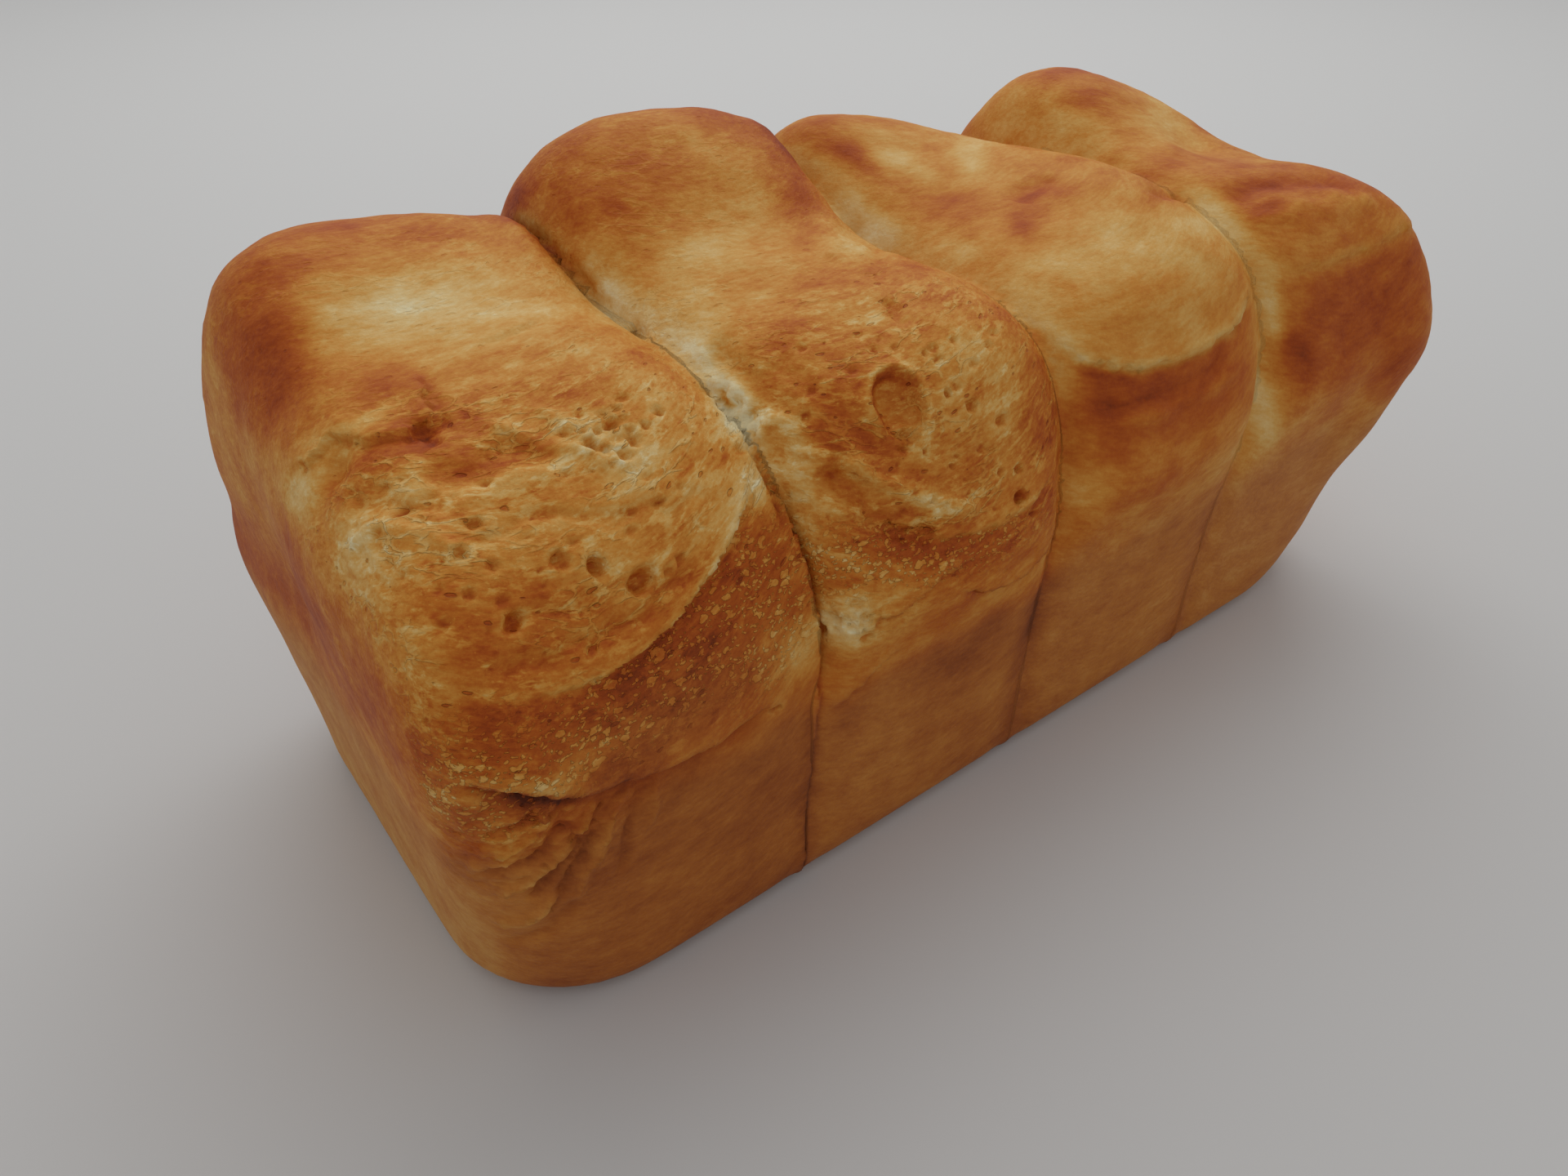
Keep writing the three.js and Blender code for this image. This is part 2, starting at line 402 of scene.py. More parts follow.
CRACKS = [
    # side, course, width, depth, how much painted shade darkens it
    ("top", [(-60, -26), (-59, -30), (-58.6, -35), (-58.8, -41), (-59, -48)], 0.6, 1.2, 0.8),
    ("top", [(-62.6, 34), (-62.4, 24), (-62, 12), (-61.4, 4), (-60.9, -2), (-60.1, -13)],
     0.8, 1.5, 0.32),
    ("front", [(1.5, 72), (-1, 62), (-3.5, 52), (-4, 44), (-4, 30)], 1.2, 0.4, 0.4),
]
for side, course, width, depth, darkness in CRACKS:
    line = stroke(side, course, width, wander=0.4)
    push(-depth * line)
    crack_shade = np.maximum(crack_shade, darkness * line)

FOLDS = [
    # side, course, width, height, which is below 0 for a furrow; first on the second piece,
    # from its back down beside its torn side
    ("front", [(-51, 100), (-47.5, 95), (-43, 90), (-38.5, 86.5), (-34, 84.5)], 2.6, -0.7),
    ("front", [(-53, 88), (-49.5, 84.7), (-46.4, 80.2), (-41.6, 75), (-34, 72)], 1.9, -1.6),
    ("front", [(-48, 87.5), (-43, 83.5), (-38, 79.5), (-32, 76), (-25, 72.5)], 1.5, 1.2),
    ("top", [(-56, -22), (-54.5, -29), (-54, -38), (-51, -45), (-47.5, -48.5)], 2.8, -1.3),
    ("top", [(-58, -36), (-54.5, -39), (-52, -43), (-50, -47)], 1.6, 0.9),
    # across the first cut
    ("top", [(-106, -22.5), (-103.8, -24), (-103.4, -28.5)], 1.5, -0.8),
    ("top", [(-105, -24.5), (-102, -23.5), (-99, -24.5)], 1.3, -0.6),
    ("top", [(-108, -33), (-100, -33.5), (-94, -32.5), (-88, -34)], 1.8, -0.8),
    ("top", [(-112, -38), (-104, -37.5), (-97, -36), (-90, -37.5)], 1.6, 0.5),
    ("top", [(-96, -26), (-93, -30), (-89, -33.5), (-84, -36.5), (-78, -38.5)], 1.0, 0.7),
    ("top", [(-88, -26), (-86, -31), (-83, -34)], 0.9, 0.6),
    ("top", [(-118, -27), (-114, -30), (-110, -35), (-106, -39)], 1.4, -0.9),
    ("top", [(-120, -32), (-116, -34), (-112, -39), (-108, -44)], 1.1, 0.6),
    ("top", [(-108, -43), (-98, -42), (-88, -43.5), (-78, -45), (-70, -43)], 0.9, -0.5),
    ("front", [(-112, 84), (-104, 81), (-95, 79.3), (-85, 79.6), (-76, 82)], 0.9, -0.7),
    ("front", [(-108, 88), (-100, 85.5), (-92, 84.5)], 0.9, -0.5),
    # under the lip, spreading from it down the near corner
    ("front", [(-99, 53), (-105, 45), (-113, 36)], 0.9, -1.2),
    ("front", [(-96, 53), (-101, 44), (-106, 33)], 1.0, 1.0),
    ("front", [(-93, 53), (-96, 44), (-99, 33)], 0.9, -0.8),
    ("front", [(-90, 53.5), (-91, 47), (-93, 41)], 0.9, 0.6),
    ("front", [(-103, 51), (-110, 44), (-117, 39)], 0.9, 1.1),
    ("front", [(-106, 52), (-112, 48), (-119, 45)], 0.8, -1.1),
    ("front", [(-108, 56), (-113, 52.5), (-118, 51.5)], 0.8, 1.0),
    ("front", [(-110, 58.5), (-114, 57), (-118, 57.5)], 0.7, -1.0),
    ("front", [(-108, 37), (-113, 31), (-118, 29)], 1.2, 1.2),
    ("front", [(-105, 33), (-112, 25), (-117, 22)], 1.4, -0.9),
    ("front", [(-101, 48), (-106, 40), (-111, 30)], 0.8, -1.0),
    # on the third and the fourth piece
    ("top", [(52, -26), (57, -24), (61, -23)], 2.2, -1.0),
    ("top", [(24, -13), (29, -11), (34, -10), (38, -11)], 2.6, -1.0),
    ("top", [(66, -33), (78, -31.5), (90, -34), (102, -37)], 2.4, -0.8),
    ("top", [(66, -39), (78, -40), (92, -42), (106, -43)], 2.2, 0.6),
    ("front", [(6, 79.5), (18, 77.5), (32, 77), (46, 78.5)], 1.2, -0.6),
    ("front", [(10, 75.5), (24, 74), (40, 74.5), (52, 76)], 1.2, 0.5),
    # on the second piece, beside the pit and over its crown
    ("top", [(-24, -29), (-23.4, -32), (-25, -35.5)], 1.0, -0.9),
    ("top", [(-22, -24), (-13, -15), (-6, -6)], 2.2, -0.6),
    ("top", [(-24, -14), (-16, -6), (-9, 6)], 2.4, 0.6),
]
# The folds' heights also pale their ridges with painted highlight and darken their furrows with painted
# shade.
fold_relief = np.zeros(count)
for side, course, width, height in FOLDS:
    line = height * stroke(side, course, width, wander=1.3)
    push(line)
    fold_relief += line

DIMPLES = [
    # place and half sizes from above, turned, depth
    ((-115.9, -20.5), (2.6, 3.0), -40, 2.0),
    ((-54, -43.5), (2.6, 3.0), 0, 0.8),
]
for centre, size, turned, depth in DIMPLES:
    push(-depth * spot("top", centre, size, turned))
outward = face_outwards()

# ---- Loaf: gas holes ------------------------------------------------------------------
# The cuts opened gas holes in the crumb. Each is a small bowl with a thin raised rim, the bowl
# # darkened with painted shade and the rim paled with a painted highlight.

HOLES = [
    # side, place, half sizes, depth
    ("top", (-108.5, -44.2), (1.1, 0.8), 1.3), ("top", (-105, -41), (1.6, 0.7), 1.1),
    ("top", (-96.5, -47.3), (1.6, 1.0), 1.0), ("top", (-92, -48.3), (1.6, 1.1), 1.2),
    ("front", (-86.2, 83), (2.8, 1.7), 2.5), ("front", (-92, 87), (1.4, 1.3), 1.2),
    ("front", (-106, 86.4), (2.1, 1.1), 1.6), ("top", (-105.5, -46.3), (1.0, 0.7), 0.8),
    ("front", (-81.8, 82.5), (0.9, 0.8), 1.0), ("front", (-79, 83), (0.8, 0.7), 0.9),
    ("top", (-84, -34.8), (1.3, 1.1), 1.1), ("top", (-77.5, -35.5), (1.1, 1.3), 1.5),
    ("top", (-71.2, -32.3), (0.9, 0.8), 1.3), ("top", (-80.5, -37), (0.9, 0.8), 1.0),
    ("top", (-82.5, -38.3), (0.9, 0.6), 0.9), ("top", (-74.5, -34), (0.9, 0.7), 0.9),
    ("top", (-87, -32), (0.9, 0.8), 0.8), ("top", (-112, -34.5), (1.5, 0.9), 1.1),
    ("front", (-97, 90), (1.3, 0.8), 0.9), ("front", (-97, 79), (1.4, 0.6), 0.7),
    ("top", (-110, -48.5), (1.0, 0.6), 0.8),
    ("front", (-15, 71.6), (1.7, 1.2), 2.2), ("front", (-25.5, 91.2), (0.8, 0.7), 1.1),
    ("front", (-21.5, 88.4), (1.4, 1.0), 1.3), ("front", (-15.8, 84.6), (1.7, 1.1), 1.2),
    ("front", (-26, 96.4), (0.6, 0.5), 0.7), ("front", (-14.3, 76.2), (1.1, 0.8), 1.0),
    ("front", (-12, 67.6), (1.2, 0.7), 0.9), ("front", (-33, 84.6), (0.8, 0.6), 0.9),
    ("front", (-18.5, 77), (0.8, 0.6), 0.8), ("front", (-27, 82), (0.8, 0.5), 0.6),
    ("front", (-67.5, 51.6), (1.3, 0.7), 1.2), ("front", (-53.5, 63), (2.2, 0.9), 1.2),
    ("front", (-50, 58.5), (1.6, 0.9), 1.0),
]
BOWL_DEPTH, RIM_HEIGHT, RIM_REACH = 0.75, 0.2, 1.6
hole_shade = np.zeros(count)
hole_rim_highlight = np.zeros(count)
for side, centre, size, depth in HOLES:
    bowl = ramp(spot(side, centre, size), 0.25, 0.85)
    rim = spot(side, centre, (size[0] * RIM_REACH, size[1] * RIM_REACH)) * (1 - bowl)
    push(-BOWL_DEPTH * depth * bowl + RIM_HEIGHT * depth * rim)
    hole_shade = np.maximum(hole_shade, bowl * min(1.0, depth))
    hole_rim_highlight = np.maximum(hole_rim_highlight, rim)

# The second cut's largest bubble left a shallow round pit, with painted shade on its left and at
# # the back, a painted dark ring just inside its rim and a painted highlight on the rim.
PIT_AT = (-35, -45.6)
PIT_HALF = (4.6, 3.7)
PIT_DEPTH, PIT_RIM_HEIGHT = 3.2, 0.3
pit_at, pit_square = seen("top")
pit_x, pit_y = (pit_at - PIT_AT).T
pit_reach = np.hypot(pit_x / PIT_HALF[0], pit_y / PIT_HALF[1]) + 0.08 * grain(5, 11)
pit = pit_square * np.sqrt(np.clip(1 - pit_reach ** 2, 0, 1))
pit_rim = pit_square * near(pit_reach, 1.16, 0.2)
pit_edge_shade = pit_square * near(pit_reach, 0.92, 0.14)
push(-PIT_DEPTH * pit + PIT_RIM_HEIGHT * pit_rim)
pit_shade = pit_edge_shade * np.clip(0.7 * pit_y - 0.5 * pit_x, -0.4, 2)

# Smaller holes lie all over the crumb, closest together where it tore into a lace. Each also
# # gets painted shade in its bowl and a painted highlight round it.
OPEN_CRUMB = [
    ("top", (-92, -36), (27, 14)), ("front", (-92, 86), (30, 8)),
    ("top", (-33, -40), (24, 13)), ("front", (-28, 82), (26, 10)),
]
open_crumb = np.maximum.reduce([spot(*opened) for opened in OPEN_CRUMB])
lace = spot("top", (-81, -33.5), (6, 4.5), -20)
torn = np.maximum(spot("front", (-52.4, 62.6), (4.8, 3.0)), spot("top", (-58.2, -33), (2.8, 6.0)))
torn_streak = spot("front", (-34.5, 77.6), (6.0, 1.5), -32)
SMALL_HOLES = [
    # where they lie, how many, and their half widths
    (open_crumb, 90, (0.3, 0.6)),
    (lace, 34, (0.3, 0.7)),
    (torn, 20, (0.5, 1.0)),
    (torn_streak, 9, (0.3, 0.6)),
]
SMALL_HOLE_FADE = 2.6
SMALL_HOLE_DEPTH = 0.9
rng = np.random.default_rng(7)
for where, holes, widths in SMALL_HOLES:
    share = where ** 2
    for middle in rng.choice(count, holes, p=share / share.sum()):
        half = rng.uniform(*widths)
        long_half = half * rng.uniform(1.1, 2.0)
        away = (skin_at - skin_at[middle]) / (long_half, half, half)
        wide_bowl = np.exp(-(away ** 2).sum(1) / SMALL_HOLE_FADE)
        bowl = ramp(wide_bowl, 0.4, 0.9)
        push(-SMALL_HOLE_DEPTH * half * bowl)
        hole_shade = np.maximum(hole_shade, 0.7 * bowl)
        hole_rim_highlight = np.maximum(hole_rim_highlight, 0.8 * wide_bowl * (1 - bowl))

# The torn crumb is ragged, the near corner wrinkled under the lip, and its edge frayed. The
# # raised parts of the wrinkles and the fray are paled with painted highlight and their hollows
# # darkened with painted shade.
crinkled = spot("front", (-108, 50), (13, 11))
wrinkle = crinkled * (grain(2.6, 44, (1.8, 1, 1)) + 0.6 * grain(1.5, 46))
frayed = spot("top", (-118, -34), (3, 12), 8)
ragged = (torn + 0.4 * torn_streak) * (0.8 * grain(2.2, 41) + 0.2)
fray = frayed * grain(2.4, 47, (1, 2, 1))
push(ragged + 0.8 * wrinkle + 0.15 * lace * grain(1.8, 42) + 0.4 * fray)
skin_at[:, 2] = np.maximum(skin_at[:, 2], 0)
outward = face_outwards()

# ---- Loaf: where the crust browned, with painted shade and highlights -----------------
# How dark each place is, from 0 for bare pale crumb to 1 for the darkest crust: dark where
# the dough stood up into the heat, pale where it was sheltered, and even where the tin held it.
# Painted shade and painted highlights are added to the same values further down.

x, y, z = skin_at.T
browning_and_painted_light = np.choose(piece, (0.45, 0.45, 0.42, 0.46))
uneven = 0.07 * grain(16, 21) + 0.05 * grain(6, 22, (1.6, 1, 1))
browning_and_painted_light += uneven * (1 - 0.6 * ramp(y, 25, 45))
browning_and_painted_light += 0.02 * open_crumb * (piece < 2)

# Places as seen from above (x, y), from the front (x, z) and on the near end (y, z). Each has
# # its middle, its half sizes, how much darker it is than its piece, and how far it is turned.
# # Most are browning; those marked below are painted shade or painted highlight.
BROWNED = {
    "top": [
        # the first piece
        ((-92, 3), (16, 7), -0.26), ((-78, -5), (9, 5), -0.20), ((-86, 9), (16, 6), -0.08),
        ((-98, 19), (14, 4), 0.10), ((-82, 21), (4, 4), 0.07), ((-92, 29), (24, 5), 0.08),
        ((-113, 6), (5, 18), 0.20, -5), ((-120, 12), (5, 22), 0.18), ((-120.5, -7), (1.8, 9), -0.20),
        # The second place on the next line is painted shade in the dimple there.
        ((-113, -13), (3.5, 6), -0.12), ((-115.5, -20), (2.2, 3.2), 0.14),
        ((-104, -13), (4.5, 6), 0.10), ((-99.3, -15), (1.2, 5), 0.14),
        ((-106, -18), (4, 1.8), -0.22, 10), ((-108, -24), (7, 3.5), 0.16),
        ((-103.5, -25), (1.6, 2.6), 0.12), ((-97, -25), (3, 4), 0.12), ((-85, -20), (13, 5), 0.07),
        ((-81, -35), (7, 4), -0.19, -20), ((-96, -33), (8, 1.7), 0.16),
        ((-94, -36.6), (10, 1.5), -0.14), ((-119, -33), (4, 9), -0.06), ((-108, -52), (12, 3), 0.10),
        ((-92, -52), (12, 2.5), 0.06), ((-66, 31), (6, 8), 0.14), ((-63.5, 22), (2.2, 11), 0.20, 3),
        ((-66, -3), (4, 10), -0.10, 20), ((-118.5, -36), (2.2, 10), -0.14, 8),
        ((-117, -17), (5, 4), -0.18, -30), ((-106, -23.5), (5, 2.5), -0.10),
        ((-96, -15), (5, 4), -0.14), ((-83, -11), (7, 3.5), -0.15), ((-113, -31), (5, 4), -0.19),
        ((-83, -29), (10, 3), -0.11), ((-67, -31), (5, 5), -0.11), ((-95, -44), (14, 4.5), -0.08),
        ((-100, 8), (6, 6), -0.07), ((-62, 33), (4, 6), 0.36), ((-98, 27), (8, 4), 0.07),
        ((-106, -27.5), (6, 3), 0.20), ((-103, -18), (3, 3), 0.14), ((-106, 16), (6, 8), 0.07),
        ((-88, -20), (8, 4), -0.13), ((-119, -15), (3, 4), -0.20), ((-92, -6), (7, 4), -0.10),
        ((-61, 3), (3, 6), -0.17), ((-117, -7), (4, 4), -0.11), ((-112, -20), (4, 3), -0.08),
        ((-64, 10), (4, 8), -0.08), ((-112, -46), (7, 4), 0.08), ((-83, -39), (6, 4), -0.07),
        ((-73, -19), (4, 3.5), -0.09),
        # the second piece
        ((-53, 20), (6, 15), 0.12), ((-57.5, 18), (2, 9), 0.07), ((-44, 17), (5, 7), 0.10),
        ((-34, 17), (4, 5), 0.10), ((-32, 31), (20, 5), 0.12), ((-8, 22), (4, 7), 0.26),
        ((-15, 6), (3.5, 11), 0.20, -35), ((-24, 9), (5, 6), -0.06), ((-40, -5), (9, 6), -0.14),
        ((-50, -11), (4, 8), -0.14), ((-33, -12), (8, 4), -0.12, 40),
        ((-15, -10), (11, 3.2), -0.18, 45), ((-57.4, -20), (2.4, 14), -0.34),
        ((-54, -20), (3.2, 9), -0.17), ((-54, -37), (1.8, 6), -0.10), ((-20, 30), (7, 10), 0.10),
        ((-39, 2), (10, 3), -0.12, 25), ((-50.5, -33), (2.6, 7), 0.09, 25),
        ((-46.5, -42), (3.4, 6), 0.12, 35), ((-45, -29), (9, 2.5), 0.12), ((-41, -38), (3, 4), 0.14),
        ((-24.5, -31), (3, 2), 0.08), ((-54, -43.5), (2.2, 3), -0.14), ((-18, -40), (10, 5), -0.05),
        ((-15, -24), (10, 4), 0.05, 10), ((-9, 27), (3.5, 12), 0.10), ((-42, -3), (9, 5), -0.04, 10),
        ((-60, -2), (2.5, 8), -0.28), ((-43, -19), (5, 4), -0.12), ((-52, -39), (3, 4), -0.13, 25),
        ((-26, -32), (5, 4), -0.07), ((-15, -44), (6, 4), -0.12), ((-29, 16), (7, 7), -0.09),
        ((-16, 23), (4, 5), 0.07), ((-52, -36), (3.8, 10), -0.15, 12), ((-29, 3), (5, 5), -0.12),
        ((-35.5, -34.5), (4, 3), -0.10), ((-42, 1), (5, 3), 0.12), ((-51, -29), (4, 4), -0.11),
        ((-34, -28), (5, 4), -0.09), ((-41, 7), (5, 4), 0.10), ((-32, 16), (5, 4), -0.09),
        # the third piece
        ((9, 15), (3, 8), 0.26, 20), ((6, 24), (5, 5), 0.12), ((15, -4), (6, 3.4), 0.18),
        ((17.5, -22), (2.5, 5), 0.16, -25), ((14.5, 8.6), (3, 4), 0.12),
        ((30, -12.5), (4.5, 2.2), 0.24, 10), ((23, -18), (7, 3.5), 0.12, 20),
        ((52, -26), (5.5, 2), 0.22, 12), ((16, 14), (4, 7), -0.14), ((28, 4), (6, 3), -0.20, 40),
        ((36, 12), (9, 4), -0.12, 40), ((53, -35), (7, 4), -0.20), ((7, -16), (2.5, 8), -0.10),
        ((3, 8), (2, 7), -0.10), ((20, 30), (16, 4), 0.08), ((28, -30), (22, 10), -0.14),
        ((15, 12), (7, 8), -0.12, 20), ((38, 30), (14, 8), -0.09), ((33, -38), (16, 8), -0.07),
        ((-1, 24), (3, 8), -0.15), ((0.5, 8), (3.5, 8), -0.31), ((54, -43), (5, 4), -0.09),
        ((21, -27), (5, 3.5), 0.10), ((33, -16), (5, 3), 0.09), ((4, -2), (4, 6), -0.15),
        ((30, -29), (5, 3), 0.08), ((41, 14), (5, 5), -0.17), ((6, -37), (4, 5), -0.11),
        ((4, -14), (3, 5), -0.11), ((21, -24), (4, 3), 0.07), ((33, -16), (4, 3), 0.06),
        # the fourth piece
        ((60, 20), (2, 6), 0.12), ((76, 23), (13, 4), 0.14, 10), ((71, 10), (6, 4), 0.12),
        ((90, 4), (17, 4), -0.16, 18), ((75, -6), (9, 3), -0.12, 15), ((64, -32), (3.4, 9), -0.30),
        ((100, 13), (10, 4), -0.12, 15), ((97, -8), (15, 2.5), 0.04, 22),
        ((78, -31.5), (12, 2.5), 0.08, -5), ((98, -36), (13, 3), 0.10, -5), ((72, -38), (6, 2), 0.16),
        ((92, -34), (22, 12), 0.11), ((100, -42), (14, 5), 0.08), ((62, 1), (5, 10), -0.12),
        ((57, 25), (4, 6), -0.10), ((91, -5), (9, 5), -0.18), ((92, -36), (10, 8), -0.05),
        ((66, -33), (4, 4), 0.06), ((59, 16), (5, 14), -0.13),
    ],
    "front": [
        # the first piece
        ((-103, 84), (11, 5), 0.08), ((-84, 80), (12, 2.5), 0.05), ((-72, 87), (8, 4), -0.06, 30),
        # The two places on the next line are a painted highlight along the lip's lower edge.
        ((-118, 66), (4.5, 1.7), -0.20, -20), ((-108, 66.5), (6, 1.4), -0.14, -25),
        ((-61.5, 59), (3.2, 5), -0.15, -15), ((-103, 72), (9, 4), -0.04),
        ((-119.5, 56), (2.2, 12), 0.16), ((-68, 68), (4, 9), -0.05), ((-100, 66), (12, 4), -0.10),
        ((-84, 66), (12, 8), 0.07), ((-64, 74), (4, 7), -0.07), ((-64, 84), (5, 5), -0.12),
        ((-92, 82), (10, 3), -0.06), ((-112, 74), (6, 4), -0.07), ((-120.5, 83), (3, 5), -0.10),
        ((-77, 58.5), (9, 4), 0.14), ((-98, 79), (7, 2), 0.10), ((-68, 82.5), (4, 3.5), -0.13),
        ((-117, 68), (3, 4), -0.07), ((-73, 80), (4, 3), -0.09), ((-63, 90), (3, 4), -0.08),
        # The first place on the next line and the second on the line after are painted shade under the
        # lip.
        ((-100, 59.5), (9, 2), 0.18, -12), ((-68, 54), (6, 3), 0.11), ((-92, 76), (7, 2), 0.08),
        ((-97, 62.5), (10, 2.2), 0.12, -8), ((-103, 56), (5, 3), 0.10), ((-91, 64), (5, 3), 0.08),
        # the second piece
        ((-50.5, 92), (2, 6), 0.12, 38), ((-42, 88.5), (6, 3), 0.08, -38),
        ((-47, 82.5), (7, 2), 0.05, -45), ((-36, 78.5), (7, 2), -0.05, -33), ((-52, 86), (3, 5), -0.08),
        # The third place on the next line is painted shade inside the large gas hole there.
        ((-30, 71.5), (9, 1.6), 0.12, -8), ((-8, 82), (4, 7), 0.06), ((-15, 71.6), (1.9, 1.4), 0.30),
        ((-59.5, 66), (1.6, 6), -0.04), ((-52, 67), (7, 2.6), -0.16, 8),
        ((-41, 65.8), (7, 1.2), -0.12, 6), ((-53, 60), (3, 3), -0.10), ((-51, 69), (5, 3), 0.05),
        ((-60, 88), (3, 4), -0.12), ((-53, 76), (4, 5), -0.09), ((-20, 63), (6, 4), 0.08),
        ((-21, 74), (6, 3), 0.07), ((-25, 90), (4, 4), -0.09), ((-36, 81.5), (5, 2), 0.13, -30),
        ((-30, 56), (7, 4), 0.12), ((-12, 54), (5, 4), 0.08), ((-54.5, 89), (2.7, 3.5), 0.24),
        ((-38, 79), (3, 3), 0.09), ((-42, 87), (3, 3), 0.09), ((-59, 68), (2.2, 4), 0.08),
        # the third piece
        ((22, 66), (18, 3.5), -0.06), ((5, 66.5), (5, 4), -0.08), ((13, 70), (5, 9), 0.10),
        ((-2, 74), (3, 4), -0.08), ((1, 54), (4, 4), 0.10), ((4, 86), (3.6, 5), -0.28),
        ((40, 83), (10, 5), -0.09), ((36, 78), (7, 3), -0.07), ((13, 54), (8, 5), 0.12),
        ((12, 90), (5, 3), -0.11), ((3, 86), (4, 4), -0.08), ((56, 54), (5, 5), -0.10),
        ((23, 62), (7, 4), 0.10),
        # the fourth piece
        ((61, 64), (3.6, 13), -0.26, 12), ((64.5, 80), (2.2, 9), -0.16), ((71, 71), (5, 6), 0.20),
        ((86, 73), (15, 9), 0.08), ((62, 58), (6, 8), -0.10, 20), ((70, 81), (5, 4), -0.08),
        ((68, 66), (5, 5), -0.10), ((64, 91), (4, 4), -0.08), ((103, 60), (9, 8), 0.14),
    ],
    "end": [
        ((-15, 80), (9, 8), 0.24), ((-49, 85), (5, 5), -0.10), ((-43, 73), (4, 5), -0.08),
        ((13, 97), (7, 6), 0.12), ((46, 58), (6, 7), 0.12),
    ],
}
for side, places in BROWNED.items():
    for centre, size, darker, *turned in places:
        browning_and_painted_light += darker * spot(side, centre, size, *turned)

# The steep side of the step between the first two pieces was sheltered and stayed pale.
steep = 1 - ramp(outward[:, 2], 0.15, 0.5)
browning_and_painted_light -= 0.30 * steep * near(x, -60, 4) * near(y, -6, 15) * ramp(z, 80, 88)

# On the back each piece browned evenly, deepest at its shoulder, and stayed paler just over
# the tin's rim.
back = ramp(y, 30, 50) * risen
browning_and_painted_light += back * (0.10 * near(z, 92, 16) - 0.10 * near(z, 56, 7) + 0.03)

# Under each cut's rim the crust caught the heat in a dark band, sharp above and soft below.
BANDS = [
    # how soft the upper edge is, and layers of: how much darker, how deep, how each end fades
    (1.4, [(0.12, 9, 0.30, 0.08), (0.20, 20, 0.25, 0.08)]),
    (1.4, [(0.18, 6, 0.10, 0.08)]),
    (1.8, [(0.22, 12, 0.12, 0.40), (0.09, 20, 0.10, 0.15)]),
    (4.0, [(0.20, 20, 0.15, 0.10)]),
]
band = np.zeros(count)
for (below, along, square), (edge, layers) in zip(under_rims, BANDS):
    for darker, reach, near_fade, far_fade in layers:
        ends = ramp(along, 0, near_fade) * ramp(1 - along, 0, far_fade)
        fading = near(np.maximum(below - 2, 0), 0, reach)
        layer = darker * ends * square * ramp(below, -0.3, edge) * fading
        browning_and_painted_light += layer * risen
        band = np.maximum(band, layer)

# Where the tin held it the crust is an even brown, deeper along the seams.
wall = 1 - ramp(z + 2.5 * grain(14, 31) + 3 * (piece == 1), 44, 55)
wall_tone = np.choose(piece, (0.67, 0.59, 0.56, 0.53)) + 0.03 * grain(22, 32) + 0.015 * grain(5, 33)
for at, reach, darker in zip(seam_x, (2.2, 4.2, 3.0), (0.10, 0.13, 0.10)):
    wall_tone = wall_tone + darker * near(x, at, reach) * (np.abs(y) > 40)

# Each place on the front wall: its middle, its half sizes, how much darker, how far turned.
WALL_TONES = [
    # The first place, under the lip, is painted shade.
    ((-98, 53), (12, 4), 0.12), ((-115, 34), (7, 16), -0.14, 8), ((-77, 57), (9, 5), 0.11),
    ((-103, 38), (7, 5), 0.07), ((-51, 42), (5, 7), 0.13), ((-29, 55), (7, 4), 0.08),
    ((-30, 55), (7, 4), 0.09), ((-19, 47), (7, 4), 0.12), ((-24, 40), (12, 8), 0.15),
    ((-5, 42), (3.5, 14), 0.08), ((-6, 50), (2.2, 4), 0.10), ((17, 53), (7, 6), 0.11),
    ((39, 18), (9, 12), -0.06), ((57, 50), (5, 7), -0.09),
]
for centre, size, darker, *turned in WALL_TONES:
    wall_tone += darker * spot("front", centre, size, *turned)
front_foot = (1 - ramp(z, 6, 14)) * ramp(-y, 40, 50)
near_end_foot = (1 - ramp(z, 8, 24)) * ramp(-x, 110, 118)
near_end_wall = ramp(-x, 112, 119) * ramp(y, -52, -40)
wall_tone += 0.04 * front_foot - 0.05 * near_end_foot - 0.22 * near_end_wall
browning_and_painted_light = browning_and_painted_light * (1 - wall) + wall_tone * wall

# The near end is darkest in a belt just over the tin's rim.
near_end = ramp(-x, 113, 120) * ramp(y, -56, -44)
belt = near(z + 0.25 * y, 62, 11) * (1 - wall)
browning_and_painted_light += near_end * (0.20 * belt + 0.06 * wall * ramp(z, 30, 50))

# Painted shade darkens the creases, cracks, holes, the pit's shaded side and the hollow under
# # the lip, and painted highlights pale the raised rims, the lip's lower edge and the ridges of
# # the folds, wrinkles and frayed crumb. The pit's floor is also a little darker in colour.
SHADE_HIGHLIGHT_AND_TINT_MARKS = [
    (crack_shade, 0.26), (hole_shade, 0.15), (hole_rim_highlight, -0.13), (pit, 0.03), (pit_shade, 0.08),
    (pit_edge_shade, 0.12), (pit_rim, -0.10), (lobe_crease_shade, 0.10), (lip_crease, 0.24),
    (lip_shade, 0.34), (lip_under, 0.09), (lip_edge_highlight, -0.15), (rim_highlight, -0.08),
    (fold_relief * (1 + 0.5 * crinkled), -0.09), (wrinkle, -0.16), (fray, -0.10),
]
for mark, darker in SHADE_HIGHLIGHT_AND_TINT_MARKS:
    browning_and_painted_light += darker * mark
browning_and_painted_light -= torn * (0.33 + 0.22 * (z > 80) + 0.15 * grain(1.5, 45))
browning_and_painted_light -= torn_streak * (0.04 + 0.24 * grain(1.5, 45, (2.2, 1, 1)))
browning_and_painted_light = np.clip(browning_and_painted_light, 0, 1)

